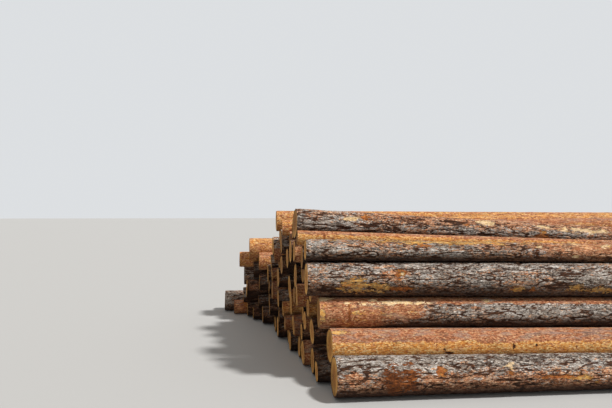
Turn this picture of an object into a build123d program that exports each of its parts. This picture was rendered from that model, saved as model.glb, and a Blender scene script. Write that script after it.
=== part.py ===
from build123d import *
import math
import os
import random

import numpy as np

# Stack of softwood sawlogs, mm and degrees.
# +X runs along the logs, +Y goes from the front face to the back, +Z is up.
# The origin is under the middle of the stack, on the ground.

# Stock
log_length = 4900
length_spread = 35
least_diameter = 215
most_diameter = 305
taper_per_metre = 11
metre = 1000
butt_share = 0.5

# How the logs lie
seat_gap = 0.35
seat_tolerance = 0.01
settle_attempts = 80
ground_gap = 28
end_stagger = 55
end_line_lean = 12
back_end_lean = 19
back_end_start = 2600

# Logs of these layers that the others cover share a node for each layer
covered_layers = (1, 2, 3)

# Size of the heap
ground_log_count = 15
step_heights = (480, 770, 1050, 1300, 1500, 1620)
front_clearance = 380
face_slope = ((0, 0), (180, 0), (350, 300), (660, 440), (990, 520), (1270, 620), (1470, 850), (1700, 1150))
back_slope = ((0, 4050), (200, 3900), (500, 3650), (1200, 2850), (1650, 2100), (1800, 1700))

# The last logs lie further back, between slopes of their own
crest_face = ((0, 0), (1300, 900), (1500, 1150), (1800, 1300))
crest_back = ((0, 4050), (400, 3900), (850, 3600), (1250, 3200), (1550, 2700), (1750, 2200))

# Where along X the resting heights are worked out
left_station = 400
right_station = 3500
stations = (left_station, right_station)
clearance_samples = 25
least_bend = 1e-9

# How a log looks for its place: spacing of the depths tried, how far away a log is still
# its neighbour, how far it may roll and turn, its steps, and the least drop that counts
groove_spacing = 8
neighbour_reach = 260
most_travel = 130
most_turn = 120
roll_steps = (24, 12, 6, 3, 1, 0.3)
least_drop = 0.05
face_pull = 0.25
rolls = ((1, 1), (-1, -1), (1, 0), (-1, 0), (0, 1), (0, -1))

# Logs placed by choice: diameters of the left and right ends, the place in depth at
# the two stations, and how far the left end lies from that of the lowest front log
chosen_logs = {
    "front_log_1": dict(left=367, right=294, y_left=0, y_right=8, start=0),
    "ground_log_2": dict(left=213, right=211, y_left=368, y_right=380, start=-115),
    "front_log_2": dict(left=329, right=292, y_left=319, y_right=243, start=-6),
    "propping_log_1": dict(left=283, right=281, y_left=658, y_right=630, start=-140),
    "front_log_3": dict(left=316, right=290, y_left=447, y_right=371, start=-82),
    "propping_log_2": dict(left=207, right=195, y_left=925, y_right=924, start=-190),
    "propping_log_3": dict(left=205, right=190, y_left=680, y_right=665, start=-165),
    "propping_log_6": dict(left=181, right=216, y_left=669, y_right=620, start=-150),
    "front_log_4": dict(left=339, right=348, y_left=484, y_right=445, start=-207),
    "propping_log_4": dict(left=257, right=219, y_left=583, y_right=535, start=-230),
    "front_log_5": dict(left=226, right=188, y_left=582, y_right=543, start=-212),
    "propping_log_5": dict(left=243, right=242, y_left=1001, y_right=1015, start=-300),
    "front_log_6": dict(left=164, right=110, y_left=690, y_right=600, start=-278),
    "top_log_1": dict(left=336, right=240, y_left=846, y_right=1053, start=-297),
}
step_orders = (
    ("front_log_2", "propping_log_1"),
    ("front_log_3", "propping_log_2"),
    ("propping_log_3", "propping_log_6", "front_log_4", "propping_log_4"),
    ("front_log_5", "propping_log_5"),
    ("front_log_6", "top_log_1"),
    (),
)

draws = random.Random(110)


class Log:
    """A straight, evenly tapered log, held by its height and depth at the two stations."""

    def __init__(self, start, length, left_radius, right_radius):
        self.start = start
        self.length = length
        self.left_radius = left_radius
        self.right_radius = right_radius
        self.depth = {station: 0.0 for station in stations}
        self.height = {station: 0.0 for station in stations}

    def share(self, x):
        return (x - left_station) / (right_station - left_station)

    def centre(self, x):
        share = self.share(x)
        y = self.depth[left_station] + (self.depth[right_station] - self.depth[left_station]) * share
        z = self.height[left_station] + (self.height[right_station] - self.height[left_station]) * share
        return (x, y, z)

    def radius(self, x):
        return self.left_radius + (self.right_radius - self.left_radius) * (x - self.start) / self.length

    def ends(self):
        return self.centre(self.start), self.centre(self.start + self.length)


def log_lines(logs):
    """Left ends and axes of some logs, as rows of points and vectors."""
    lefts = np.array([log.ends()[0] for log in logs])
    rights = np.array([log.ends()[1] for log in logs])
    return lefts, rights - lefts


def clearances(log, placed):
    """Least distance from a log to each of the others, and the x where it is found."""
    starts, lines = log_lines(placed)
    left_radii = np.array([other.left_radius for other in placed])
    changes = np.array([other.right_radius for other in placed]) - left_radii
    (start,), (line,) = log_lines([log])
    sizes = (lines ** 2).sum(axis=1)

    # Shares of this log's length: an even row, and where each other log begins and ends
    even = np.tile(np.linspace(0, 1, clearance_samples), (len(placed), 1))
    before = ((starts - start) * lines).sum(axis=1) / (lines @ line)
    beyond = before + sizes / (lines @ line)
    ends = np.clip(np.stack([before, beyond], axis=1), 0, 1)
    shares = np.concatenate([even, ends], axis=1)

    offsets = start + shares[:, :, None] * line - starts[:, None, :]
    other_shares = np.clip((offsets * lines[:, None, :]).sum(axis=2) / sizes[:, None], 0, 1)
    apart = np.linalg.norm(offsets - other_shares[:, :, None] * lines[:, None, :], axis=2)
    radii = log.left_radius + (log.right_radius - log.left_radius) * shares
    gaps = apart - radii - left_radii[:, None] - changes[:, None] * other_shares

    # Beside the other log, the least gap between two samples lies on a curve through three
    rows = np.arange(len(placed))
    middle = np.clip(gaps[:, :clearance_samples].argmin(axis=1), 1, clearance_samples - 2)
    slope = gaps[rows, middle - 1] - gaps[rows, middle + 1]
    bend = gaps[rows, middle - 1] - 2 * gaps[rows, middle] + gaps[rows, middle + 1]
    shift = np.clip(slope / (2 * np.maximum(bend, least_bend)), -1, 1)
    curve_least = gaps[rows, middle] - slope * shift / 4
    beside = (other_shares[rows, middle - 1] % 1 > 0) & (other_shares[rows, middle + 1] % 1 > 0)
    least = np.where(beside, np.minimum(gaps.min(axis=1), curve_least), gaps.min(axis=1))
    return least, log.start + log.length * shares[rows, gaps.argmin(axis=1)]


def rest_height(y, radius, station, placed):
    """Lowest height of a disc of this radius at y, on the ground or on what is there."""
    height = radius
    for log in placed:
        reach = radius + log.radius(station) + seat_gap
        _, log_y, log_z = log.centre(station)
        aside = y - log_y
        if abs(aside) < reach:
            height = max(height, log_z + math.sqrt(reach * reach - aside * aside))
    return height


def grooves(radius, station, placed, low, high):
    """Places between low and high where a disc of this radius would lie still."""
    count = int((high - low) / groove_spacing) + 1
    ys = [low + groove_spacing * i for i in range(count)]
    zs = [rest_height(y, radius, station, placed) for y in ys]
    return [
        (zs[i], ys[i])
        for i in range(1, len(ys) - 1)
        if zs[i] <= zs[i - 1] and zs[i] < zs[i + 1]
    ]


def settle(log, placed):
    """Move a log until nothing is nearer than the seat gap: up, or aside from what is beside it."""
    for attempt in range(settle_attempts):
        least, xs = clearances(log, placed)
        worst = int(least.argmin())
        lack = seat_gap - least[worst]
        if lack < seat_tolerance:
            return True
        share = log.share(xs[worst])
        _, y, z = log.centre(xs[worst])
        _, other_y, other_z = placed[worst].centre(xs[worst])
        aside, up = y - other_y, z - other_z
        apart = math.hypot(aside, up)
        weights = {left_station: 1 - share, right_station: share}
        size = sum(weight ** 2 for weight in weights.values())
        for station, weight in weights.items():
            if attempt > settle_attempts / 2:
                log.height[station] += 2 * lack
            elif up > apart / 2:
                log.height[station] += lack * apart / up * weight / size
            else:
                log.depth[station] += lack * aside / apart * weight / size
                log.height[station] += lack * up / apart * weight / size
    return False


def let_down(log, placed, pull, aim):
    """Rest a log at the depth it has, and say how high it lies and how far from its aim."""
    for station in stations:
        log.height[station] = rest_height(log.depth[station], log.radius(station), station, placed)
    if not settle(log, placed):
        return math.inf
    return sum(log.height[station] + pull * abs(log.depth[station] - aim[station]) for station in stations)


def roll_down(log, placed, pull=0.0):
    """Roll and turn a log to the lowest place near where it was dropped."""
    spots = {
        s: (log.depth[s], rest_height(log.depth[s], log.radius(s), s, placed)) for s in stations
    }
    close = [
        other
        for other in placed
        if any(
            math.dist(other.centre(s)[1:], spots[s]) < other.radius(s) + log.radius(s) + neighbour_reach
            for s in stations
        )
    ]
    aim = dict(log.depth)
    best = let_down(log, close, pull, aim)
    kept = dict(log.depth)
    for step in roll_steps:
        moved = True
        while moved:
            moved = False
            for left, right in rolls:
                log.depth[left_station] = kept[left_station] + left * step
                log.depth[right_station] = kept[right_station] + right * step
                if max(abs(log.depth[s] - aim[s]) for s in stations) > most_travel:
                    continue
                height = let_down(log, close, pull, aim)
                if height < best - least_drop:
                    best = height
                    kept = dict(log.depth)
                    moved = True
                    break
    log.depth = kept
    let_down(log, placed, pull, aim)


def along(line, z):
    """Depth on a slope, given as points of height and depth."""
    for (z_low, y_low), (z_high, y_high) in zip(line, line[1:]):
        if z <= z_high:
            return y_low + (y_high - y_low) * (z - z_low) / (z_high - z_low)
    return line[-1][1]


def end_line(y):
    """Where the left ends lie at a depth: the far ends stick out further."""
    near_part = math.tan(math.radians(end_line_lean)) * y
    far_part = math.tan(math.radians(back_end_lean)) * max(0, y - back_end_start)
    return -near_part - far_part


def stagger():
    return (2 * draws.random() - 1) * end_stagger


def drawn_log():
    """A log of random size, with its butt to the left or to the right."""
    diameter = least_diameter + (most_diameter - least_diameter) * draws.random()
    change = taper_per_metre * log_length / metre / 4
    if draws.random() < butt_share:
        change = -change
    length = log_length + (2 * draws.random() - 1) * length_spread
    return Log(0, length, diameter / 2 + change, diameter / 2 - change)


def chosen_log(name):
    choice = chosen_logs[name]
    log = Log(choice["start"], log_length, choice["left"] / 2, choice["right"] / 2)
    log.depth = {left_station: choice["y_left"], right_station: choice["y_right"]}
    return log


def lay_ground_row(stack):
    """The logs that lie on the ground, one behind the other."""
    before = None
    for number in range(1, ground_log_count + 1):
        name = "front_log_1" if number == 1 else f"ground_log_{number}"
        if name in chosen_logs:
            log = chosen_log(name)
        else:
            log = drawn_log()
            gap = seat_gap + draws.random() * ground_gap
            for station in stations:
                aside = 2 * math.sqrt(log.radius(station) * before.radius(station))
                log.depth[station] = before.depth[station] + aside + gap
            log.start = end_line(log.depth[left_station]) + stagger()
        for station in stations:
            log.height[station] = log.radius(station)
        if name not in chosen_logs:
            lack = gap - clearances(log, [before])[0][0]
            for station in stations:
                log.depth[station] += max(0.0, lack)
        stack[name] = log
        before = log


def push_forward(log, placed):
    """Slide a log on the ground towards the front until it meets another."""
    spare = math.inf
    while spare > seat_tolerance:
        spare = clearances(log, placed)[0].min() - seat_gap
        for station in stations:
            log.depth[station] -= spare


def lay_chosen(name, stack):
    """A log with a place of its own in the front face."""
    log = chosen_log(name)
    roll_down(log, list(stack.values()), pull=face_pull)
    stack[name] = log


def lay_lowest(name, stack, ceiling, face, back):
    """Drop a drawn log into the lowest hollow between two slopes, or say that none is left."""
    log = drawn_log()
    placed = list(stack.values())
    best = None
    hollows = {
        station: grooves(log.radius(station), station, placed, 0, back[0][1])
        for station in stations
    }
    for z_left, y_left in hollows[left_station]:
        if not along(face, z_left) + front_clearance < y_left < along(back, z_left):
            continue
        for z_right, y_right in hollows[right_station]:
            turn = abs(y_right - y_left)
            cost = z_left + z_right + turn / 2
            if turn < most_turn and (best is None or cost < best[0]):
                best = (cost, y_left, y_right, (z_left + z_right) / 2)
    if best is None or best[3] > ceiling:
        return False
    log.depth = {left_station: best[1], right_station: best[2]}
    log.start = end_line(best[1]) + stagger()
    roll_down(log, placed)
    stack[name] = log
    return True


def build_stack():
    """All logs by name, and the step of the heap in which each was laid."""
    stack = {}
    steps = {}
    lay_ground_row(stack)
    for step, (order, ceiling) in enumerate(zip(step_orders, step_heights), start=1):
        crest = step == len(step_orders)
        face, back = (crest_face, crest_back) if crest else (face_slope, back_slope)
        for name in order:
            lay_chosen(name, stack)
        count = 0
        while lay_lowest(f"layer_{step}_log_{count + 1}", stack, ceiling, face, back):
            count += 1
            steps[f"layer_{step}_log_{count}"] = step
    last = stack[f"ground_log_{ground_log_count}"]
    push_forward(last, [log for log in stack.values() if log is not last])
    return stack, steps


def disc_reach(normal, radius, axis):
    return radius * math.sqrt(max(0.0, 1 - normal[axis] ** 2))


def stack_bounds(stack):
    """Lowest and highest corners of all the logs."""
    low = [math.inf] * 3
    high = [-math.inf] * 3
    for log in stack.values():
        left, right = log.ends()
        size = math.dist(left, right)
        normal = [(right[i] - left[i]) / size for i in range(3)]
        for centre, radius in ((left, log.left_radius), (right, log.right_radius)):
            for axis in range(3):
                reach = disc_reach(normal, radius, axis)
                low[axis] = min(low[axis], centre[axis] - reach)
                high[axis] = max(high[axis], centre[axis] + reach)
    return low, high


stack, steps = build_stack()
low, high = stack_bounds(stack)
origin = ((low[0] + high[0]) / 2, (low[1] + high[1]) / 2, low[2])

nodes = {}
for name, log in stack.items():
    covered = steps.get(name) in covered_layers
    node = f"inner_logs_layer_{steps[name]}" if covered else name
    nodes.setdefault(node, []).append(log)

os.makedirs("parts", exist_ok=True)
for node, logs in nodes.items():
    with BuildPart() as timber:
        for log in logs:
            left, right = (Vector(*end) - Vector(*origin) for end in log.ends())
            length = (right - left).length
            direction = (right - left).normalized()
            with BuildSketch(Plane(origin=left, x_dir=direction, z_dir=direction.cross(Vector(0, 0, 1)))):
                with BuildLine():
                    Polyline(
                        (0, 0),
                        (length, 0),
                        (length, log.right_radius),
                        (0, log.left_radius),
                        close=True,
                    )
                make_face()
            revolve(axis=Axis(left, direction))
    timber.part.label = node
    export_step(timber.part, f"parts/{node}.step")
print(len(stack), "logs in", len(nodes), "nodes, size", [round(high[i] - low[i]) for i in range(3)])
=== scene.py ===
"""Looks of the stack of pine sawlogs: bark, peeled patches, knots and sawn ends.

Lengths are in metres. A place on a log is how far along it lies from the left end, and an angle
round the log, which is 0 at the front and grows upwards.
"""

import math
from types import SimpleNamespace

import bpy
import numpy as np
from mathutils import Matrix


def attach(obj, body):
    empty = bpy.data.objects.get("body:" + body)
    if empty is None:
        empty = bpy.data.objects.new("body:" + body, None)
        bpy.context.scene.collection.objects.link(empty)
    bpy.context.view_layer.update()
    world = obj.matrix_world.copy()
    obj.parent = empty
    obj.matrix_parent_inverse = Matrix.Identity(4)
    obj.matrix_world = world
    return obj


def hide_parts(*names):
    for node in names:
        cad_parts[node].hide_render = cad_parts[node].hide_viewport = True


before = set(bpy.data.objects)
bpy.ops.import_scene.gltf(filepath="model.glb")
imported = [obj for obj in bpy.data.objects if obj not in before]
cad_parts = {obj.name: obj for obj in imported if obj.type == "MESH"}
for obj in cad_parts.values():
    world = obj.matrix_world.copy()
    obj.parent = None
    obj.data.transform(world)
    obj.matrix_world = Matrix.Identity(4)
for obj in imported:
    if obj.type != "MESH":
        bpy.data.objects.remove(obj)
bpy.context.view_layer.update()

TURN = 2 * math.pi

# The photograph's camera: its place from the lowest front log's left end, its aim and its lens
CAMERA_OFFSET = (-0.5638, -4.1816)
CAMERA_HEIGHT = 1.65
CAMERA_TURN = math.radians(-4.5)
CAMERA_PITCH = math.radians(90.72)
LENS = 28
SENSOR = 36
FARTHEST_SEEN = 400

# The floor, the light from all round, what is seen behind the stack, and the one lamp, which
# shines from the front at a turn of 0 and from the right at a quarter turn
FLOOR_REACH = 90
FLOOR_COLOUR = (0.46, 0.45, 0.43, 1)
FLOOR_ROUGHNESS = 0.9
SKY_COLOUR = (1, 1, 1, 1)
SKY_STRENGTH = 0.45
BACKDROP_COLOUR = (0.72, 0.74, 0.76, 1)
LAMP_TURN = math.radians(62)
LAMP_ELEVATION = math.radians(54)
LAMP_STRENGTH = 3.5
LAMP_SPREAD = math.radians(6)

FRONT_LOGS = (
    "front_log_1",
    "front_log_2",
    "front_log_3",
    "front_log_4",
    "front_log_5",
    "front_log_6",
    "top_log_1",
)

# How far from the end of a log its ring of end points reaches in X
END_REACH = 0.05

# Where along X, and in how many directions, a log is tested for being seen from outside, and how
# far down such a direction may point
SIGHT_STATIONS = (-2.0, -0.7, 0.7, 2.0)
SIGHT_RAYS = 16
LOWEST_SIGHT = -0.3

# Logs with a smaller share to see get painted shade all round, and need less detail
OPEN = 0.12
PARTLY_OPEN = 0.02
HIDDEN_SHADE = 0.6
MOST_HIDDEN_SHADE = 1.1

# Rows along the side, columns round it and rings of an end, for logs seen well to not at all
DETAIL = {"front": (300, 118, 7), "open": (170, 50, 6), "part": (90, 38, 5), "hidden": (40, 28, 5)}

# Rows crowd towards the ends. Columns of a front log crowd where it faces the front and the sky
ROW_CROWDING = 0.06 / math.pi
CROWDING = 0.45
CROWDED_AT = math.radians(28)

# First seeds of the drawn values. A log's own number is added to them
LOOK_SEED = 500
PATCH_SEED = 900
SHAPE_SEED = 100
PLATE_SEED = 60
SCALE_SEED = 160
CUT_SEED = 700
END_SEED = 300

# How far apart in the noise two logs with neighbouring numbers lie
LOG_SHIFT = 3.7

# How far the bark may lie inside the outer cone of its log
LEAST_INSET = 0.0004
MOST_INSET = 0.022

# Thick bark: size of a plate along and round the log, depth of its cracks, steps between plates
PLATE_SIZE = (0.13, 0.032)
CRACK_DEPTH = 0.0075
PLATE_STEP = 0.003

# Thin bark: size of a scale, depth of its seams, steps between scales
SCALE_SIZE = (0.06, 0.024)
SEAM_DEPTH = 0.0012
SCALE_STEP = 0.001

# Slow changes of a log's section, and branch whorls
OUT_OF_ROUND = 0.003
SWELLING = 0.005
LEAST_SWELLING = 0.0018
WHORL_RISE = 0.002
WHORL_REACH = 0.035

# What is gone where the bark has peeled off, from thin and from thick bark, and in a dark pit
PEELED_DEPTH = 0.002
PEELED_THICK_DEPTH = 0.006
PIT_DEPTH = 0.006

# How deep and how far in from a log's ends the bark is worn
WORN_DEPTH = 0.004
WORN_REACH = 0.012

# Metres on each side of the place where a log's bark changes
CHANGE_REACH = 0.9

# Saw cuts: degrees that a cut is turned from square towards the front, and leans up or down, how
# far it may lie inside the log, how far along the side it draws the points, and its waves
LEAST_CUT_TURN = 1
CUT_TURN_RANGE = 4
CUT_LEAN_RANGE = 3
MOST_CUT = 0.028
CUT_REACH = 0.03
WAVES_PER_METRE = 30
WAVE_DEPTH = 0.0015

# Sawn ends: range of the pith's place, drying checks on a log of usual radius, rough grain, the
# step at the bark, and how deep the rings and the pith lie at least
PITH_RANGE = 0.02
CHECKS = 5
CHECK_DEPTH = 0.002
CHECK_WIDTH = 0.004
USUAL_RADIUS = 0.13
GRAINS_PER_METRE = 60
GRAIN_DEPTH = 0.0012
GRAIN_SHIFT = 1.7
BARK_STEP = 0.0015
RING_DEPTH = 0.0014
PITH_DEPTH = 0.0015

# How far the materials' textures are shifted from log to log, and from one end to the other
PLACE_SHIFT = np.array([3.1, 1.7, 2.3])
END_PLACE_SHIFT = 9.0
WAY_SHIFT = 0.7
END_WAY_SHIFT = 0.3

# Places in the baked texture: the side is cut into strips of this width, one over another, and
# the two ends lie beside them
STRIPS = 4
SIDE_WIDTH = 0.86
END_CENTRE = 0.93
END_HALF_SIZE = (0.065, 0.23)


class Log:
    """One log of the frame: its two end centres, its end radii and its own number."""

    def __init__(self, node, left, right, left_radius, right_radius):
        self.node = node
        self.left = left
        self.axis = right - left
        self.length = float(np.linalg.norm(self.axis))
        self.axis = self.axis / self.length
        self.left_radius = left_radius
        self.right_radius = right_radius
        up = np.array([0.0, 0.0, 1.0])
        self.up = up - self.axis * float(up @ self.axis)
        self.up /= np.linalg.norm(self.up)
        self.front = np.cross(self.axis, self.up)
        self.number = 0
        self.open_share = 1.0

    def radius(self, along):
        return self.left_radius + (self.right_radius - self.left_radius) * along / self.length

    def section(self, x):
        """Depth, height and radius where the log crosses x, or None past its ends."""
        along = (x - self.left[0]) / self.axis[0]
        if not 0 <= along <= self.length:
            return None
        centre = self.left + self.axis * along
        return centre[1], centre[2], self.radius(along)

    def drawn(self, first_seed):
        """A source of this log's own drawn values, the same each run."""
        return np.random.default_rng(first_seed + self.number)


# Reading the frame


def read_logs(node, obj):
    """The logs in one node's mesh, from the rings of points at their ends."""
    mesh = obj.data
    points = np.empty(len(mesh.vertices) * 3, np.float32)
    mesh.vertices.foreach_get("co", points)
    edges = np.empty(len(mesh.edges) * 2, np.int32)
    mesh.edges.foreach_get("vertices", edges)
    points, index = np.unique(points.reshape(-1, 3).round(5), axis=0, return_inverse=True)
    one, other = index.reshape(-1)[edges.reshape(-1, 2)].T

    # Points joined by edges come to share the lowest label among them
    label = np.arange(len(points))
    while True:
        lowest = label.copy()
        np.minimum.at(lowest, one, label[other])
        np.minimum.at(lowest, other, label[one])
        lowest = lowest[lowest]
        if (lowest == label).all():
            break
        label = lowest

    found = []
    for part in np.unique(label):
        own = points[label == part].astype(float)
        x = own[:, 0]
        rings = [own[x < x.min() + END_REACH], own[x > x.max() - END_REACH]]
        centres = [(ring.min(0) + ring.max(0)) / 2 for ring in rings]
        radii = [float(np.linalg.norm(ring - c, axis=1).max()) for ring, c in zip(rings, centres)]
        found.append(Log(node, *centres, *radii))
    return sorted(found, key=lambda log: (log.left[2], log.left[1]))


def hides(section, start, way):
    """Whether a log's section stands in the way of a look from start."""
    to = np.array(section[:2]) - start
    ahead = float(to @ way)
    return ahead > 0 and float(to @ to) - ahead * ahead < section[2] ** 2


def open_share(log):
    """How much of a log's side can be seen from outside the stack, from 0 to 1."""
    seen = 0
    for x in SIGHT_STATIONS:
        own = log.section(x)
        if own is None:
            continue
        start = np.array(own[:2])
        others = [s for s in (o.section(x) for o in logs if o is not log) if s]
        for ray in range(SIGHT_RAYS):
            turn = TURN * ray / SIGHT_RAYS
            way = np.array([math.cos(turn), math.sin(turn)])
            seen += way[1] > LOWEST_SIGHT and not any(hides(s, start, way) for s in others)
    return seen / (len(SIGHT_STATIONS) * SIGHT_RAYS)


logs = [log for node, obj in sorted(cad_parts.items()) for log in read_logs(node, obj)]
for number, log in enumerate(logs):
    log.number = number
    if log.node not in FRONT_LOGS:
        log.open_share = open_share(log)


# Noise


class Noise:
    """Smooth value noise on a repeating lattice, the same each run."""

    size = 32
    octave_shift = 7.3

    def __init__(self, seed):
        self.table = np.random.default_rng(seed).random((self.size,) * 3).astype(np.float32)

    def at(self, points):
        cell = np.floor(points).astype(np.int64)
        part = (points - cell).astype(np.float32)
        part = part * part * (3 - 2 * part)
        value = 0
        for corner in range(8):
            step = [(corner >> k) & 1 for k in range(3)]
            weight = 1
            for k in range(3):
                weight = weight * (part[..., k] if step[k] else 1 - part[..., k])
            i, j, k = ((cell[..., n] + step[n]) % self.size for n in range(3))
            value = value + weight * self.table[i, j, k]
        return value

    def layers(self, points, count):
        """Several octaves, from about 0 to 1."""
        total, weight, size = 0, 1, 0
        for octave in range(count):
            total = total + weight * self.at(points * 2**octave + self.octave_shift * octave)
            size += weight
            weight *= 0.5
        return total / size

    def on_bark(self, places, along, across, shift, count):
        """Octaves with so many cells in a metre along the log and across it."""
        return self.layers(places * (along, across, across) + shift, count)


noise = Noise(11)


def step(low, high, value):
    """Smooth step of value from low to high, or the other way round."""
    share = np.clip((value - low) / (high - low), 0, 1)
    return share * share * (3 - 2 * share)


def blend(pair, share):
    """From the first of two values to the second."""
    return pair[0] + (pair[1] - pair[0]) * share


def plates(log, along, arc, around, size, first_seed):
    """Bark plates: how far each point is from its plate's edge, and the plate's own tone."""
    rng = log.drawn(first_seed)
    margin = 2
    rows = int(log.length / size[0]) + 2 * margin + 1
    columns = max(5, round(around / size[1]))
    spots = 0.08 + 0.84 * rng.random((rows, columns, 2))
    tones = rng.random((rows, columns))
    u = along / size[0] + margin
    v = arc / around * columns
    row, column = np.floor(u).astype(int), np.floor(v).astype(int)
    nearest = np.full(u.shape, np.inf)
    second = np.full(u.shape, np.inf)
    tone = np.zeros(u.shape)
    for du in (-1, 0, 1):
        for dv in (-1, 0, 1):
            i = np.clip(row + du, 0, rows - 1)
            j = (column + dv) % columns
            away = np.hypot(row + du + spots[i, j, 0] - u, column + dv + spots[i, j, 1] - v)
            closer = away < nearest
            second = np.where(closer, nearest, np.minimum(second, away))
            tone = np.where(closer, tones[i, j], tone)
            nearest = np.minimum(nearest, away)
    return second - nearest, tone


# What each log looks like

# Each pair is what the log has at its left and at its right, and turn is where it changes.
# thick: thick grey plates against thin orange bark. warm: how red the thick bark is. yellow: how
# yellow the thin bark is, below and on the log's crown. crown: how high the crown begins. top: how
# much redder the thick bark is on the crown. low: how strong the painted shade on the underside is.
# thin_crown: the thin bark is on the crown and the thick bark below.
LOOKS = {
    "front_log_1": dict(
        thick=(1.0, 0.95), warm=(0.5, 0.7), turn=1.2, yellow=(0.2, 0.2), top=-0.75, low=1.15
    ),
    "front_log_2": dict(
        thick=(0.0, 0.1), warm=(0.4, 0.4), turn=2.5, yellow=(0.95, 0.0), crown=0.43, low=0.2
    ),
    "front_log_3": dict(
        thick=(0.16, 1.0),
        warm=(0.5, 0.1),
        turn=1.05,
        yellow=(0.2, 0.1),
        crown=0.68,
        thin_crown=True,
        low=1.25,
    ),
    "front_log_4": dict(thick=(1.0, 1.0), warm=(0.3, 0.15), turn=1.0, yellow=(0.3, 0.3)),
    "front_log_5": dict(thick=(1.0, 0.45), warm=(0.1, 0.95), turn=2.2, yellow=(0.3, 0.3), top=0.3),
    "front_log_6": dict(thick=(0.0, 0.35), warm=(0.3, 0.9), turn=2.7, yellow=(0.9, 0.15)),
    "top_log_1": dict(thick=(1.0, 0.8), warm=(0.05, 0.55), turn=1.2, yellow=(0.2, 0.2), top=0.55),
    "layer_6_log_1": dict(thick=(0.0, 0.1), warm=(0.5, 0.5), turn=2.4, yellow=(0.55, 0.5)),
    "layer_6_log_2": dict(thick=(0.0, 0.1), warm=(0.5, 0.5), turn=2.4, yellow=(0.5, 0.6)),
    "layer_6_log_3": dict(thick=(0.1, 0.0), warm=(0.5, 0.5), turn=2.4, yellow=(0.7, 0.5)),
    "layer_6_log_4": dict(thick=(0.0, 0.1), warm=(0.5, 0.5), turn=2.4, yellow=(0.55, 0.6)),
}

# Patches: metres from the left end, degrees up from the front, half sizes in metres along
# and round the log, and what shows there
PATCHES = {
    "front_log_1": (
        (0.51, -1, 0.078, 0.150, "scaly"),
        (0.65, 4, 0.079, 0.130, "scaly"),
        (0.17, 11, 0.090, 0.075, "pink"),
        (0.93, 24, 0.040, 0.037, "orange"),
        (1.22, 37, 0.018, 0.026, "dark"),
        (1.56, 42, 0.048, 0.025, "cream"),
        (1.55, 17, 0.027, 0.021, "orange"),
        (2.21, 1, 0.098, 0.030, "yellow"),
        (1.96, 4, 0.180, 0.014, "orange"),
        (2.36, -15, 0.024, 0.020, "orange"),
    ),
    "front_log_2": (
        (0.07, 62, 0.110, 0.026, "yellow"),
        (1.07, 1, 0.017, 0.016, "dark"),
        (1.12, -12, 0.031, 0.015, "dark"),
        (1.74, 5, 0.010, 0.028, "dark"),
        (1.96, 18, 0.010, 0.027, "dark"),
        (0.79, 19, 0.033, 0.018, "pink"),
    ),
    "front_log_3": (
        (0.72, 50, 0.377, 0.025, "cream"),
        (0.53, 60, 0.044, 0.042, "cream"),
        (0.76, 57, 0.039, 0.029, "cream"),
        (0.04, 72, 0.071, 0.037, "cream"),
        (0.03, 4, 0.033, 0.068, "yellow"),
        (0.29, 8, 0.012, 0.080, "scaly"),
        (0.36, 12, 0.034, 0.016, "yellow"),
        (1.66, 60, 0.038, 0.022, "cream"),
        (1.52, 29, 0.049, 0.018, "pink"),
    ),
    "front_log_4": (
        (0.90, 33, 0.050, 0.060, "orange"),
        (0.86, 30, 0.120, 0.090, "pink"),
        (0.92, 29, 0.029, 0.031, "cream"),
        (0.48, -16, 0.144, 0.073, "yellow"),
        (0.70, -25, 0.106, 0.061, "yellow"),
        (0.95, -28, 0.136, 0.030, "orange"),
        (2.09, -28, 0.070, 0.027, "yellow"),
        (2.23, -24, 0.030, 0.032, "orange"),
        (2.67, -23, 0.076, 0.031, "yellow"),
        (2.91, -32, 0.149, 0.035, "yellow"),
    ),
    "front_log_5": (
        (1.45, 74, 0.75, 0.045, "yellow"),
        (1.16, 42, 0.075, 0.024, "orange"),
        (2.37, 39, 0.037, 0.016, "cream"),
        (2.73, -15, 0.032, 0.016, "cream"),
        (2.33, -4, 0.033, 0.051, "dark"),
        (2.77, 75, 0.034, 0.033, "cream"),
        (3.09, 55, 0.044, 0.029, "cream"),
    ),
    "front_log_6": (
        (0.28, 12, 0.012, 0.040, "scaly"),
        (1.38, 4, 0.007, 0.060, "scaly"),
    ),
    "top_log_1": (
        (0.63, 34, 0.078, 0.042, "cream"),
        (0.76, 38, 0.049, 0.058, "orange"),
        (2.13, 51, 0.093, 0.048, "cream"),
        (2.79, 42, 0.084, 0.027, "cream"),
        (3.28, 34, 0.248, 0.037, "cream"),
        (2.79, -5, 0.085, 0.070, "orange"),
        (1.74, 47, 0.111, 0.022, "dark"),
        (1.89, 29, 0.046, 0.016, "orange"),
        (2.65, -32, 0.048, 0.015, "cream"),
    ),
}

# Tones of the patches, each a stop of the peeled wood's colours. Pink ones only redden the bark.
# Patches lighter than BARE have lost their bark, and those darker than PITTED are pits
PATCH_TONES = {"cream": 0.0, "yellow": 0.25, "orange": 0.5, "scaly": 0.75, "dark": 1.0}
BARE = 0.6
PITTED = 0.9


def look_of(log):
    """A log's own look, or a drawn one: mostly thick bark, mostly thin bark, or some of each."""
    if log.node in LOOKS:
        return LOOKS[log.node]
    rng = log.drawn(LOOK_SEED)
    kind = rng.random()
    turn = log.length * rng.random()
    if kind < 0.45:
        warm = 0.1 + 0.6 * rng.random()
        thick = 0.4 + 0.6 * rng.random()
        return dict(thick=(1.0, thick), warm=(warm, 0.4), turn=turn, yellow=(0.3, 0.3))
    if kind < 0.8:
        yellow = 0.1 + 0.7 * rng.random()
        yellows = (yellow, yellow * rng.random())
        return dict(thick=(0.15, 0.1), warm=(0.5, 0.5), turn=turn, yellow=yellows)
    return dict(thick=(0.9, 0.1), warm=(0.3, 0.7), turn=turn, yellow=(0.4 * rng.random(), 0.3))


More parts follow.
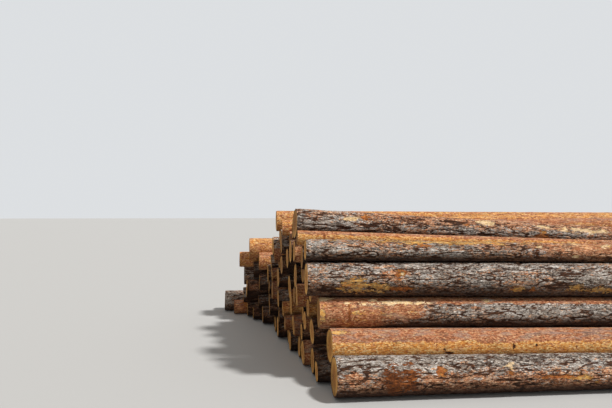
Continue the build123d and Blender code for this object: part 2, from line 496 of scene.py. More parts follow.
def patches_of(log):
    """A front log's own patches, or a few drawn ones."""
    if log.node in PATCHES:
        return PATCHES[log.node]
    rng = log.drawn(PATCH_SEED)
    return [
        (
            0.2 + (log.length - 0.4) * rng.random(),
            360 * rng.random(),
            0.05 + 0.25 * rng.random() ** 2,
            0.02 + 0.05 * rng.random(),
            ("yellow", "cream", "orange")[rng.integers(3)],
        )
        for _ in range(rng.integers(2, 6))
    ]


# Meshes


def bark_kinds(log, look, along, angle, far):
    """How thick and how warm the bark is, where its crown is, and the painted shade underneath, all
    round on hidden logs.
    """
    height = np.sin(angle)
    share = step(look["turn"] - CHANGE_REACH, look["turn"] + CHANGE_REACH, along)
    wander = noise.on_bark(far, 1.6, 5, 0, 4) - 0.5
    ragged = noise.on_bark(far, 5, 20, 55, 3) - 0.5
    crown_at = look.get("crown", 0.55)
    crown = step(crown_at - 0.1, crown_at + 0.1, height + 0.3 * ragged)
    thick = blend(look["thick"], share)
    if look.get("thin_crown"):
        thick = thick - 0.6 * crown + 0.3 * step(0.1, -0.4, height) * step(0.3, 0.7, along)
    thick = step(0.28, 0.72, thick + 0.9 * wander)
    # Painted shade, darker towards the log's underside
    under = step(0.1, -0.75, height) * look.get("low", 1)
    # Logs hidden in the stack get painted shade all round
    if log.open_share < OPEN:
        under = np.minimum(under + HIDDEN_SHADE, MOST_HIDDEN_SHADE)
    warm = blend(look["warm"], share)
    warm = warm + 1.1 * (noise.on_bark(far, 1.8, 6, 40, 4) - 0.5)
    # The painted shade also makes the bark redder, as a painted warm bounce from below
    warm = warm + 0.4 * under + look.get("top", 0) * step(0.15, 0.75, height)
    return thick, warm, crown, under


def bark_cracks(log, along, angle, ring, far):
    """Cracks and plate tones of the thick bark, then seams and scale tones of the thin bark."""
    around = TURN * (log.left_radius + log.right_radius) / 2
    arc = (angle % TURN) / TURN * around
    bend = noise.on_bark(far, 7, 20, 90, 3) - 0.5
    skew = noise.on_bark(far, 3, 8, 170, 2) - 0.5

    # Long wavy cracks at two scales, where a noise crosses its middle
    lean = ring + np.stack([0.12 * bend, 0.02 * skew, 0.02 * bend], -1)
    lean = lean + log.number * LOG_SHIFT
    wide = np.abs(noise.on_bark(lean, 5.5, 21, 13, 2) - 0.5)
    narrow = np.abs(noise.on_bark(lean, 11, 40, 29, 2) - 0.5)
    strong = step(0.3, 0.62, noise.on_bark(far, 4, 11, 77, 2))
    crack = np.maximum(1 - step(0.005, 0.075, wide), (1 - step(0.0, 0.07, narrow)) * strong * 0.8)

    # Plates between them, and smaller scales
    edge, tone = plates(log, along + 0.12 * bend, arc + 0.05 * skew, around, PLATE_SIZE, PLATE_SEED)
    apart = step(0.4, 0.6, noise.on_bark(far, 3, 9, 5, 2))
    crack = np.maximum(crack, (1 - step(0.0, 0.16, edge)) * apart * 0.7)
    edge, scale_tone = plates(
        log, along + 0.04 * bend, arc + 0.03 * skew, around, SCALE_SIZE, SCALE_SEED
    )
    return crack, tone, 1 - step(0.0, 0.2, edge), scale_tone


def slow_shape(log, along, angle, far):
    """Inset from slow swellings, out of round and branch whorls, and where the whorls are."""
    rng = log.drawn(SHAPE_SEED)
    phase = rng.random(8) * TURN
    oval = 2 * angle + phase[0] + 0.5 * np.sin(along * 1.3 + phase[1])
    inset = OUT_OF_ROUND * (1 + np.sin(oval)) / 2
    inset = inset + SWELLING * noise.on_bark(far, 2.2, 5, 230, 2) - LEAST_SWELLING
    first = 0.5 + 0.6 * rng.random()
    spacing = 0.42 + 0.22 * rng.random()
    whorl = (along - first) / spacing
    near = np.abs(whorl - np.round(whorl)) * spacing
    branches = step(0.45, 0.8, noise.on_bark(far, 0.4, 9, 310, 1))
    knots = np.exp(-((near / WHORL_REACH) ** 2)) * branches
    return inset + WHORL_RISE * (1 - knots), knots


def bark_patches(log, along, angle, radius, far):
    """How far inside a patch each point is, that patch's tone, and how much patches redden it."""
    ragged = 2.2 * (noise.on_bark(far, 12, 36, 70, 3) - 0.5)
    bare = np.full(along.shape, -1.0)
    bare_tone = np.zeros(along.shape)
    pink = np.zeros(along.shape)
    for centre, degrees, half_length, half_width, kind in patches_of(log):
        turn = (angle - math.radians(degrees) + math.pi) % TURN - math.pi
        u = (along - centre) / half_length
        v = turn * radius / half_width
        field = 1 - np.hypot(u, v) + ragged
        if kind == "pink":
            pink = pink + 0.9 * step(-0.1, 0.4, field)
        else:
            closer = field > bare
            bare = np.where(closer, field, bare)
            bare_tone = np.where(closer, PATCH_TONES[kind], bare_tone)
    return bare, bare_tone, pink


def surface(log, along, angle):
    """Inset of the bark below the log's outer cone, and what the material needs to know."""
    look = look_of(log)
    radius = log.radius(along)
    ring = np.stack([along, radius * np.cos(angle), radius * np.sin(angle)], -1)
    far = ring + log.number * LOG_SHIFT
    thick, warm, crown, under = bark_kinds(log, look, along, angle, far)
    crack, tone, seam, scale_tone = bark_cracks(log, along, angle, ring, far)
    bare, bare_tone, pink = bark_patches(log, along, angle, radius, far)

    inset, knots = slow_shape(log, along, angle, far)
    thick_relief = CRACK_DEPTH * crack + PLATE_STEP * tone
    thin_relief = SEAM_DEPTH * seam + SCALE_STEP * scale_tone
    inset = inset + thick * thick_relief + (1 - thick) * thin_relief
    peeled = step(-0.02, 0.12, bare) * (bare_tone < BARE)
    pit = step(0.0, 0.5, bare) * (bare_tone > PITTED)
    inset = inset * (1 - 0.5 * peeled) + peeled * (PEELED_THICK_DEPTH * thick + PEELED_DEPTH)
    inset = inset + PIT_DEPTH * pit
    from_end = np.minimum(along, log.length - along)
    worn = np.exp(-from_end / WORN_REACH)
    inset = inset + WORN_DEPTH * worn * noise.on_bark(far, 30, 30, 0, 2)

    return np.clip(inset, LEAST_INSET, MOST_INSET), {
        "plate": thick * (1 - crack) + (1 - thick) * (1 - 0.6 * seam),
        "tone": np.where(thick > 0.5, tone, scale_tone),
        "thick": thick,
        "warm": warm + pink,
        "bare": bare,
        "bare_tone": bare_tone,
        "knot": knots,
        "yellow": blend(look["yellow"], crown),
        # Painted shade, for the material
        "under": under,
    }


def saw_cuts(log):
    """How far each saw cut lies inside the log's length, at a place on the end."""
    rng = log.drawn(CUT_SEED)
    turns = np.tan(np.radians(LEAST_CUT_TURN + CUT_TURN_RANGE * rng.random(2)))
    leans = np.tan(np.radians(CUT_LEAN_RANGE * (rng.random(2) - 0.5)))

    def cut(end, y, z):
        reach = log.right_radius if end else log.left_radius
        facing = (reach + y) * turns[end]
        leaning = (reach + z) * leans[end] if leans[end] > 0 else (z - reach) * leans[end]
        level = y * 0 + 5 * end + log.number
        spots = np.stack([y * WAVES_PER_METRE, z * WAVES_PER_METRE, level], -1)
        wave = WAVE_DEPTH + WAVE_DEPTH * noise.at(spots)
        return np.minimum(facing + leaning + wave, MOST_CUT)

    return cut


def side_faces(rows, columns):
    """Quads of a log's side and their texture places, in strips that lie one over another."""
    i, j = np.meshgrid(np.arange(rows - 1), np.arange(columns), indexing="ij")
    after = (j + 1) % columns
    row, next_row = i * columns, (i + 1) * columns
    corners = [row + j, next_row + j, next_row + after, row + after]
    share_u = np.stack([i, i + 1, i + 1, i], -1).reshape(-1, 4) / (rows - 1)
    share_v = np.stack([j, j, j + 1, j + 1], -1).reshape(-1, 4) / columns
    strip = np.minimum((i.reshape(-1) * STRIPS) // (rows - 1), STRIPS - 1)[:, None]
    first = np.ceil(strip * (rows - 1) / STRIPS) / (rows - 1)
    width = 1 / STRIPS + 1 / (rows - 1)
    u = SIDE_WIDTH * np.clip((share_u - first) / width, 0, 1)
    v = (strip + 0.01 + 0.98 * share_v) / STRIPS
    return np.stack(corners, -1).reshape(-1, 4), np.stack([u, v], -1)


def end_points(log, end, edge, ray, shares, cuts, rng):
    """Points of a sawn end, ring by ring from near the bark inwards, and its pith last."""
    pith = (rng.random(2) - 0.5) * PITH_RANGE
    shares = shares[:, None]
    across = shares * edge
    spots = np.stack([across * np.cos(ray), across * np.sin(ray), across * 0], -1)
    grain = GRAIN_DEPTH * noise.at(spots * GRAINS_PER_METRE + log.number * GRAIN_SHIFT)
    depth = RING_DEPTH + grain + BARK_STEP * step(0.9, 0.97, shares)
    for check in rng.random(CHECKS) * TURN:
        off = np.abs((ray - check + math.pi) % TURN - math.pi)
        depth = depth + CHECK_DEPTH * np.exp(-((off * shares * USUAL_RADIUS / CHECK_WIDTH) ** 2))
    y = across * np.cos(ray) + pith[0] * (1 - shares)
    z = across * np.sin(ray) + pith[1] * (1 - shares)
    depth = (depth + cuts(end, y, z)).ravel()
    depth = np.concatenate([depth, cuts(end, pith[:1], pith[1:]) + PITH_DEPTH])
    x = log.length - depth if end else depth
    return np.stack([x, np.append(y, pith[0]), np.append(z, pith[1])], -1)


def end_faces(end, rings, hub, shares, ray):
    """Faces of a sawn end and their texture places: quads ring by ring, and triangles inside."""
    order = -1 if end else 1
    centre = np.array([END_CENTRE, 0.25 + 0.5 * end])
    spokes = np.stack([END_HALF_SIZE[0] * np.cos(ray), END_HALF_SIZE[1] * np.sin(ray)], -1)
    spots = [centre + spokes * share for share in shares]
    quads, quad_uv = [], []
    for outer, inner, outer_uv, inner_uv in zip(rings, rings[1:], spots, spots[1:]):
        corners = [outer, inner, np.roll(inner, -1), np.roll(outer, -1)]
        corners_uv = [outer_uv, inner_uv, np.roll(inner_uv, -1, 0), np.roll(outer_uv, -1, 0)]
        quads.append(np.stack(corners[::order], -1))
        quad_uv.append(np.stack(corners_uv[::order], 1))
    last, last_uv = rings[-1], spots[-1]
    corners = [last, np.full(len(last), hub), np.roll(last, -1)]
    corners_uv = [last_uv, np.repeat(centre[None], len(last), 0), np.roll(last_uv, -1, 0)]
    return quads, quad_uv, np.stack(corners[::order], -1), np.stack(corners_uv[::order], 1)


def log_mesh(log, rows, columns, ring_count):
    """Points, faces, attributes and texture places of one log."""
    along = np.linspace(0, 1, rows)
    along = log.length * (along - ROW_CROWDING * np.sin(TURN * along))
    angle = np.arange(columns) / columns * TURN
    if log.node in FRONT_LOGS:
        angle = angle - CROWDING * np.sin(angle - CROWDED_AT)
    along, angle = np.meshgrid(along, angle, indexing="ij")
    inset, facts = surface(log, along, angle)
    radius = log.radius(along) - inset
    cuts = saw_cuts(log)
    x, y, z = along.copy(), radius * np.cos(angle), radius * np.sin(angle)
    for end, row in ((0, 0), (1, rows - 1)):
        near_end = np.exp(-np.abs(along - along[row, 0]) / CUT_REACH)
        x += (1 - 2 * end) * near_end * cuts(end, y[row], z[row])

    # "place" and "way" are where and in which direction from the pith the textures are read
    cone = log.radius(along)
    points = [np.stack([x, y, z], -1).reshape(-1, 3)]
    place = [np.stack([along, cone * np.cos(angle), cone * np.sin(angle)], -1).reshape(-1, 3)]
    level = WAY_SHIFT * log.number
    way = [np.stack([np.cos(angle), np.sin(angle), angle * 0 + level], -1).reshape(-1, 3)]
    values = {name: [fact.ravel()] for name, fact in facts.items()}
    values["rim"] = [np.ones(rows * columns)]
    side_quads, side_uv = side_faces(rows, columns)
    quads, quad_uv, tris, tri_uv = [side_quads], [side_uv], [], []

    rng = log.drawn(END_SEED)
    shares = np.linspace(1, 0, ring_count + 1)[:-1]
    base = rows * columns
    for end, row in ((0, 0), (1, rows - 1)):
        ray = angle[row]
        inner = shares[1:]
        points.append(end_points(log, end, radius[row], ray, inner, cuts, rng))
        across = inner[:, None] * radius[row]
        flat = np.stack([across * np.cos(ray), across * np.sin(ray)], -1).reshape(-1, 2)
        flat = np.concatenate([flat, np.zeros((1, 2))])
        place.append(np.column_stack([np.full(len(flat), END_PLACE_SHIFT * end), flat]))
        level = WAY_SHIFT * log.number + END_WAY_SHIFT * end
        ways = np.stack([np.cos(ray), np.sin(ray), ray * 0 + level], -1)
        way += [np.tile(ways, (len(inner), 1)), np.array([[0, 0, level]])]
        for name, fact in facts.items():
            values[name] += [np.tile(fact[row], len(inner)), fact[row, :1]]
        values["rim"] += [np.repeat(inner, columns), np.zeros(1)]

        rings = [row * columns + np.arange(columns)]
        rings += [base + n * columns + np.arange(columns) for n in range(len(inner))]
        hub = base + len(inner) * columns
        more_quads, more_quad_uv, hub_tris, hub_uv = end_faces(end, rings, hub, shares, ray)
        quads += more_quads
        quad_uv += more_quad_uv
        tris.append(hub_tris)
        tri_uv.append(hub_uv)
        base = hub + 1

    x, y, z = np.hsplit(np.concatenate(points), 3)
    return {
        "points": log.left + x * log.axis + y * log.front + z * log.up,
        "place": np.concatenate(place) + PLACE_SHIFT * log.number,
        "way": np.concatenate(way),
        "values": {name: np.concatenate(lists) for name, lists in values.items()},
        "quads": np.concatenate(quads),
        "quad_uv": np.concatenate(quad_uv),
        "tris": np.concatenate(tris),
        "tri_uv": np.concatenate(tri_uv),
        "side_quads": len(side_quads),
    }


def join_meshes(name, parts, materials):
    """One object from the meshes of one node's logs, with the side's and the ends' materials."""
    points = np.concatenate([part["points"] for part in parts])
    bases = np.cumsum([0] + [len(part["points"]) for part in parts[:-1]])
    quads = np.concatenate([part["quads"] + base for part, base in zip(parts, bases)])
    tris = np.concatenate([part["tris"] + base for part, base in zip(parts, bases)])

    # The texture places of the logs lie side by side in a grid
    columns = math.ceil(math.sqrt(len(parts)))
    lines = math.ceil(len(parts) / columns)
    quad_uv, tri_uv, kinds = [], [], []
    for number, part in enumerate(parts):
        corner = np.array([number % columns, number // columns])
        for source, target in ((part["quad_uv"], quad_uv), (part["tri_uv"], tri_uv)):
            target.append((source * 0.98 + 0.01 + corner) / (columns, lines))
        kinds.append(np.arange(len(part["quads"])) >= part["side_quads"])
    kinds = np.concatenate(kinds + [np.ones(len(tris), bool)]).astype(np.int32)
    corners = np.concatenate([quads.ravel(), tris.ravel()]).astype(np.int32)
    totals = np.concatenate([np.full(len(quads), 4), np.full(len(tris), 3)]).astype(np.int32)
    starts = np.concatenate([[0], np.cumsum(totals)[:-1]]).astype(np.int32)

    mesh = bpy.data.meshes.new(name)
    mesh.vertices.add(len(points))
    mesh.vertices.foreach_set("co", points.astype(np.float32).ravel())
    mesh.loops.add(len(corners))
    mesh.loops.foreach_set("vertex_index", corners)
    mesh.polygons.add(len(totals))
    mesh.polygons.foreach_set("loop_start", starts)
    mesh.polygons.foreach_set("loop_total", totals)
    mesh.polygons.foreach_set("material_index", kinds)
    mesh.update(calc_edges=True)
    mesh.shade_smooth()
    uv = [np.concatenate(places).reshape(-1, 2) for places in (quad_uv, tri_uv)]
    layer = mesh.uv_layers.new(name="OFBake")
    layer.uv.foreach_set("vector", np.concatenate(uv).astype(np.float32).ravel())
    for key in parts[0]["values"]:
        values = np.concatenate([part["values"][key] for part in parts]).astype(np.float32)
        mesh.attributes.new(key, "FLOAT", "POINT").data.foreach_set("value", values)
    for key in ("place", "way"):
        vectors = np.concatenate([part[key] for part in parts]).astype(np.float32)
        attribute = mesh.attributes.new(key, "FLOAT_VECTOR", "POINT")
        attribute.data.foreach_set("vector", vectors.ravel())
    mesh.validate()
    for material in materials:
        mesh.materials.append(material)
    obj = bpy.data.objects.new(name, mesh)
    bpy.context.scene.collection.objects.link(obj)
    return obj


# Materials


def linear(red, green, blue):
    """A colour as it is written on screen, from 0 to 255, for a shader."""
    values = (red, green, blue)
    return [((c / 255 + 0.055) / 1.055) ** 2.4 if c > 10 else c / 255 / 12.92 for c in values] + [1]


class Nodes:
    """Short calls for building a node tree."""

    def __init__(self, name):
        self.material = bpy.data.materials.new(name)
        self.material.use_nodes = True
        self.tree = self.material.node_tree
        self.shader = self.tree.nodes["Principled BSDF"]

    def feed(self, socket, value):
        if isinstance(value, bpy.types.NodeSocket):
            self.tree.links.new(value, socket)
        else:
            socket.default_value = value

    def attribute(self, name, output="Fac"):
        node = self.tree.nodes.new("ShaderNodeAttribute")
        node.attribute_name = name
        return node.outputs[output]

    def math(self, operation, *values):
        node = self.tree.nodes.new("ShaderNodeMath")
        node.operation = operation
        for socket, value in zip(node.inputs, values):
            self.feed(socket, value)
        return node.outputs[0]

    def times(self, one, other):
        return self.math("MULTIPLY", one, other)

    def add(self, base, value, weight):
        return self.math("MULTIPLY_ADD", value, weight, base)

    def from_middle(self, value):
        return self.math("SUBTRACT", value, 0.5)

    def vary(self, base, value, weight):
        """Base, moved by how far value is from its middle."""
        return self.add(base, self.from_middle(value), weight)

    def lines(self, value, width):
        """Thin lines where a noise crosses its middle."""
        return self.between(self.math("ABSOLUTE", self.from_middle(value)), 0.0, width, 1, 0)

    def vector(self, operation, one, other):
        node = self.tree.nodes.new("ShaderNodeVectorMath")
        node.operation = operation
        self.feed(node.inputs[0], one)
        self.feed(node.inputs[1], other)
        return node.outputs[0]

    def stretch(self, place, factors):
        return self.vector("MULTIPLY", place, factors)

    def noise(self, place, scale, detail=3.0, rough=0.55, distortion=0.0, output="Fac"):
        node = self.tree.nodes.new("ShaderNodeTexNoise")
        self.feed(node.inputs["Vector"], place)
        node.inputs["Scale"].default_value = scale
        node.inputs["Detail"].default_value = detail
        node.inputs["Roughness"].default_value = rough
        node.inputs["Distortion"].default_value = distortion
        return node.outputs[output]

    def voronoi(self, place, scale, feature="F1", output="Distance"):
        node = self.tree.nodes.new("ShaderNodeTexVoronoi")
        node.feature = feature
        self.feed(node.inputs["Vector"], place)
        node.inputs["Scale"].default_value = scale
        return node.outputs[output]

    def channels(self, colour):
        """The red, green and blue of a colour."""
        node = self.tree.nodes.new("ShaderNodeSeparateColor")
        self.feed(node.inputs[0], colour)
        return node.outputs

    def jitter(self, place, scale, size):
        """A small wandering shift."""
        colour = self.noise(place, scale, 2, 0.5, 0, "Color")
        shift = self.vector("SUBTRACT", colour, (0.5, 0.5, 0.5))
        return self.vector("MULTIPLY", shift, (size, size, size))

    def between(self, value, low, high, to_low=0.0, to_high=1.0):
        """Smooth step of value from low to high."""
        node = self.tree.nodes.new("ShaderNodeMapRange")
        node.interpolation_type = "SMOOTHSTEP"
        self.feed(node.inputs["Value"], value)
        node.inputs["From Min"].default_value = low
        node.inputs["From Max"].default_value = high
        node.inputs["To Min"].default_value = to_low
        node.inputs["To Max"].default_value = to_high
        return node.outputs["Result"]

    def mix(self, share, one, other):
        node = self.tree.nodes.new("ShaderNodeMix")
        node.data_type = "RGBA"
        self.feed(node.inputs[0], share)
        self.feed(node.inputs[6], one)
        self.feed(node.inputs[7], other)
        return node.outputs[2]

    def tint(self, colour, share, *other):
        """A colour turned by a share towards another, given as red, green and blue."""
        return self.mix(share, colour, linear(*other))

    def ramp(self, value, *stops):
        """Colours from a value. Each stop is where it lies, and its red, green and blue."""
        node = self.tree.nodes.new("ShaderNodeValToRGB")
        self.feed(node.inputs[0], value)
        elements = node.color_ramp.elements
        while len(elements) < len(stops):
            elements.new(0.5)
        for element, (at, *colour) in zip(elements, stops):
            element.position = at
            element.color = linear(*colour)
        return node.outputs[0]

    def finish(self, colour, height, roughness, strength, distance):
        """Puts colour, relief and roughness on the shader."""
        node = self.tree.nodes.new("ShaderNodeBump")
        node.inputs["Strength"].default_value = strength
        node.inputs["Distance"].default_value = distance
        self.feed(node.inputs["Height"], height)
        self.feed(self.shader.inputs["Normal"], node.outputs[0])
        self.feed(self.shader.inputs["Base Color"], colour)
        self.shader.inputs["Roughness"].default_value = roughness
        self.shader.inputs["Specular IOR Level"].default_value = 0.25
        return self.material


def bark_textures(n):
    """The mesh's facts, and noises, cracks and flakes that are finer than the mesh."""
    names = ("plate", "tone", "thick", "warm", "bare", "bare_tone", "knot", "yellow", "under")
    t = SimpleNamespace(**{name: n.attribute(name) for name in names})
    place = n.attribute("place", "Vector")
    long_place = n.stretch(place, (0.28, 1, 1))
    t.large = n.noise(long_place, 7, 3, 0.5)
    t.coarse = n.noise(long_place, 26, 4, 0.6)
    t.fine = n.noise(long_place, 95, 4, 0.65)
    t.grit = n.noise(n.stretch(place, (0.5, 1, 1)), 260, 2, 0.6)
    t.streaks = n.noise(n.stretch(place, (0.14, 1, 1)), 120, 3, 0.6)

    cracked = n.add(0.3, n.between(t.large, 0.38, 0.56), 0.7)
    t.small_crack = n.times(n.lines(n.noise(long_place, 34, 4, 0.6, 0.8), 0.035), cracked)
    other_place = n.vector("ADD", long_place, (5, 5, 5))
    t.fine_crack = n.lines(n.noise(other_place, 75, 3, 0.6, 0.6), 0.035)

    flake_place = n.vector("ADD", n.stretch(place, (0.38, 1, 1)), n.jitter(long_place, 30, 0.02))
    t.flake = n.channels(n.voronoi(flake_place, 58, "F1", "Color"))[0]
    small_place = n.vector("ADD", n.stretch(place, (0.5, 1, 1)), n.jitter(place, 60, 0.012))
    t.small_flake, t.small_kind, _ = n.channels(n.voronoi(small_place, 105, "F1", "Color"))
    t.flake_edge = n.between(n.voronoi(small_place, 105, "DISTANCE_TO_EDGE"), 0.0, 0.16, 1, 0)
    return t


def thick_bark(n, t):
    """Grey plates, some with pinkish faces, dark in the cracks."""
    value = n.add(n.times(t.fine, 0.4), t.tone, 0.2)
    value = n.add(n.add(value, t.large, 0.1), t.small_flake, 0.3)
    grey = n.ramp(value, (0.26, 96, 82, 70), (0.48, 184, 169, 154), (0.7, 238, 230, 220))
    value = n.add(n.times(t.flake, 0.25), t.fine, 0.4)
    value = n.add(value, t.small_flake, 0.35)
    pink = n.ramp(value, (0.24, 124, 66, 38), (0.48, 218, 144, 98), (0.72, 252, 206, 166))
    redness = n.vary(n.vary(t.warm, t.flake, 0.7), t.small_kind, 0.7)
    redness = n.vary(redness, t.coarse, 1.8)
    face = n.mix(n.between(redness, 0.25, 0.75), grey, pink)
    depth = n.ramp(t.fine, (0.3, 36, 22, 13), (0.7, 112, 68, 40))
    colour = n.mix(n.between(n.vary(t.plate, t.fine, 1.1), 0.2, 0.7), depth, face)
    colour = n.tint(colour, n.times(t.small_crack, 0.8), 52, 32, 20)
    colour = n.tint(colour, n.times(t.fine_crack, 0.45), 78, 48, 30)
    colour = n.tint(colour, n.times(t.flake_edge, 0.4), 62, 40, 26)
    return n.tint(colour, n.between(t.small_flake, 0.06, 0.16, 0.65, 0), 50, 30, 18)


def thin_bark(n, t):
    """Papery scales, from reddish to yellow, with a little grey."""
    value = n.add(n.times(t.fine, 0.45), t.large, 0.2)
    value = n.add(value, t.small_flake, 0.35)
    red = n.ramp(value, (0.28, 112, 60, 36), (0.5, 186, 116, 76), (0.72, 230, 170, 126))
    yellow = n.ramp(value, (0.28, 180, 98, 36), (0.5, 236, 164, 82), (0.72, 254, 220, 152))
    yellowness = n.vary(n.vary(t.yellow, t.coarse, 1.8), t.flake, 0.5)
    yellowness = n.vary(yellowness, t.small_kind, 0.7)
    colour = n.mix(n.between(yellowness, 0.3, 0.8), red, yellow)
    colour = n.tint(colour, n.between(t.small_kind, 0.88, 0.94, 0, 0.38), 252, 220, 168)
    colour = n.tint(colour, n.times(t.flake_edge, 0.3), 104, 58, 34)
    grey = n.between(n.math("SUBTRACT", t.large, t.yellow), 0.25, 0.5)
    grey = n.times(grey, n.between(t.coarse, 0.45, 0.6))
    colour = n.tint(colour, n.times(grey, 0.6), 158, 138, 126)
    colour = n.tint(colour, n.between(t.streaks, 0.6, 0.76, 0, 0.55), 116, 66, 38)
    colour = n.tint(colour, n.times(t.small_crack, 0.5), 104, 62, 38)
    return n.tint(colour, n.between(t.grit, 0.62, 0.74, 0, 0.32), 240, 206, 164)


def peeled_wood(n, t):
    """Cream wood, yellow and orange inner bark, and dark scales, in the order of PATCH_TONES."""
    value = n.add(t.bare_tone, n.from_middle(t.coarse), n.add(0.4, t.bare_tone, 0.9))
    value = n.vary(value, t.small_flake, 0.35)
    colour = n.ramp(
        value,
        (0.0, 255, 222, 176),
        (0.25, 240, 190, 104),
        (0.5, 212, 126, 62),
        (0.75, 132, 70, 30),
        (1.0, 48, 30, 20),
    )
    colour = n.tint(colour, n.between(t.streaks, 0.5, 0.72, 0, 0.42), 146, 86, 42)
    colour = n.tint(colour, n.times(t.fine_crack, 0.3), 116, 66, 32)
    flecks = n.between(t.small_flake, 0.12, 0.4, 0.6, 0)
    return n.tint(colour, n.times(flecks, n.between(t.bare_tone, 0.05, 0.2)), 116, 64, 26)


def bark_material():
    n = Nodes("pine_bark")
    t = bark_textures(n)
    edge = n.vary(n.vary(t.thick, t.coarse, 1.5), t.flake, 0.4)
    colour = n.mix(n.between(edge, 0.35, 0.65), thin_bark(n, t), thick_bark(n, t))

    # Patches with ragged dark rims, dark knots, and shade on the underside
    patch = n.vary(n.vary(t.bare, t.fine, 1.3), t.coarse, 1.8)
    patch = n.vary(patch, t.small_kind, 0.6)
    colour = n.tint(colour, n.between(patch, -0.16, 0.0, 0, 0.8), 96, 58, 36)
    colour = n.mix(n.between(patch, 0.0, 0.16), colour, peeled_wood(n, t))
    knot = n.times(t.knot, n.between(t.coarse, 0.45, 0.6))
    colour = n.tint(colour, n.times(knot, 0.7), 58, 36, 26)
    # Painted shade: dark red-brown under the log and all round on hidden logs, weaker on peeled
    # patches
    shade = n.times(t.under, n.add(0.2, t.thick, 0.65))
    shade = n.math("MINIMUM", n.times(shade, n.between(patch, 0.0, 0.16, 1, 0.35)), 0.93)
    colour = n.tint(colour, shade, 46, 24, 11)

    height = n.add(n.times(t.coarse, 0.6), t.fine, 0.5)
    height = n.add(height, n.add(t.small_crack, t.fine_crack, 0.5), -0.7)
    height = n.add(height, t.grit, 0.2)
    height = n.times(height, n.add(0.25, t.thick, 0.5))
    return n.finish(colour, height, roughness=0.88, strength=1.0, distance=0.012)


def end_material():
    n = Nodes("sawn_end")
    place = n.attribute("place", "Vector")
    rim = n.attribute("rim")
    way = n.attribute("way", "Vector")
    coarse = n.noise(place, 9, 4, 0.6)
    fine = n.noise(place, 120, 3, 0.6)
    saw = n.noise(n.stretch(place, (1, 0.12, 1.4)), 160, 2, 0.5)
    rings = n.math("SINE", n.times(n.add(rim, n.noise(place, 14, 2), 0.05), 125.0))
    reach = n.times(n.between(rim, 0.05, 0.2), n.between(rim, 0.6, 0.85, 1, 0))
    check = n.times(n.lines(n.noise(way, 2.6, 3, 0.6), 0.022), reach)
    wood = n.ramp(
        n.vary(rim, coarse, 0.7),
        (0.0, 182, 120, 56),
        (0.5, 196, 135, 64),
        (0.72, 226, 170, 88),
        (1.0, 216, 160, 80),
    )
    wood = n.tint(wood, n.between(rings, -0.2, 1.0, 0, 0.45), 138, 86, 46)
    wood = n.tint(wood, n.between(coarse, 0.5, 0.7, 0, 0.6), 110, 74, 38)
    wood = n.tint(wood, n.between(n.noise(place, 0.8, 0), 0.42, 0.62, 0, 0.55), 104, 66, 32)
    wood = n.tint(wood, n.between(fine, 0.6, 0.8, 0, 0.5), 92, 62, 38)
    wood = n.tint(wood, n.between(n.noise(way, 5, 3), 0.5, 0.75, 0, 0.4), 142, 90, 44)
    wood = n.tint(wood, n.times(check, 0.75), 58, 38, 22)
    bark = n.ramp(fine, (0.3, 44, 28, 20), (0.7, 112, 74, 50))
    colour = n.mix(n.between(n.vary(rim, fine, 0.05), 0.925, 0.945), wood, bark)
    height = n.add(n.add(saw, fine, 0.5), rings, 0.15)
    height = n.math("SUBTRACT", height, check)
    return n.finish(colour, height, roughness=0.82, strength=0.5, distance=0.002)


# The logs


def detail_of(log):
    if log.node in FRONT_LOGS:
        return DETAIL["front"]
    if log.open_share > OPEN:
        return DETAIL["open"]
    return DETAIL["part"] if log.open_share > PARTLY_OPEN else DETAIL["hidden"]


materials = (bark_material(), end_material())
for node in sorted(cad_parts):
    parts = []
    for log in (log for log in logs if log.node == node):
        rows, columns, rings = detail_of(log)
        parts.append(log_mesh(log, rows, columns, rings))
    piece = join_meshes(f"barked_{node}", parts, materials)
    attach(piece, "root")
    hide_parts(node)


# Floor, light and camera


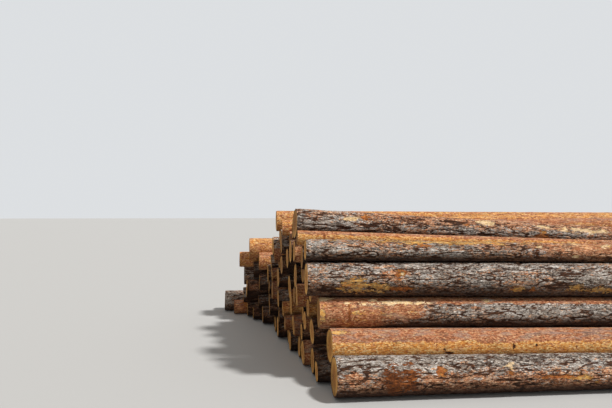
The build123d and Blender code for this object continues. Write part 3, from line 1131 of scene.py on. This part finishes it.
def make_floor():
    corners = [(-1, -1), (1, -1), (1, 1), (-1, 1)]
    mesh = bpy.data.meshes.new("floor")
    points = [(x * FLOOR_REACH, y * FLOOR_REACH, 0) for x, y in corners]
    mesh.from_pydata(points, [], [(0, 1, 2, 3)])
    n = Nodes("floor")
    n.shader.inputs["Base Color"].default_value = FLOOR_COLOUR
    n.shader.inputs["Roughness"].default_value = FLOOR_ROUGHNESS
    mesh.materials.append(n.material)
    obj = bpy.data.objects.new("floor", mesh)
    bpy.context.scene.collection.objects.link(obj)
    return obj


def make_world():
    """Light from all round, and a plain backdrop for the camera and for glossy and clear things."""
    world = bpy.data.worlds.new("studio")
    bpy.context.scene.world = world
    world.use_nodes = True
    tree = world.node_tree
    sky = tree.nodes["Background"]
    sky.inputs["Color"].default_value = SKY_COLOUR
    sky.inputs["Strength"].default_value = SKY_STRENGTH
    backdrop = tree.nodes.new("ShaderNodeBackground")
    backdrop.inputs["Color"].default_value = BACKDROP_COLOUR
    path = tree.nodes.new("ShaderNodeLightPath")
    seen = path.outputs["Is Camera Ray"]
    for ray in ("Is Transmission Ray", "Is Glossy Ray"):
        either = tree.nodes.new("ShaderNodeMath")
        either.operation = "MAXIMUM"
        tree.links.new(seen, either.inputs[0])
        tree.links.new(path.outputs[ray], either.inputs[1])
        seen = either.outputs[0]
    choose = tree.nodes.new("ShaderNodeMixShader")
    for number, output in enumerate((seen, sky.outputs[0], backdrop.outputs[0])):
        tree.links.new(output, choose.inputs[number])
    tree.links.new(choose.outputs[0], tree.nodes["World Output"].inputs["Surface"])


def make_lamp():
    light = bpy.data.lights.new("key", "SUN")
    light.energy = LAMP_STRENGTH
    light.angle = LAMP_SPREAD
    obj = bpy.data.objects.new("key", light)
    obj.rotation_euler = (math.pi / 2 - LAMP_ELEVATION, 0, LAMP_TURN)
    bpy.context.scene.collection.objects.link(obj)


def make_camera():
    first = next(log for log in logs if log.node == "front_log_1")
    data = bpy.data.cameras.new("camera")
    data.lens = LENS
    data.sensor_width = SENSOR
    data.clip_end = FARTHEST_SEEN
    obj = bpy.data.objects.new("camera", data)
    obj.location = (*(first.left[:2] + CAMERA_OFFSET), CAMERA_HEIGHT)
    obj.rotation_euler = (CAMERA_PITCH, 0, CAMERA_TURN)
    bpy.context.scene.collection.objects.link(obj)
    bpy.context.scene.camera = obj


floor = make_floor()
make_world()
make_lamp()
make_camera()
bpy.context.scene.view_settings.view_transform = "Standard"
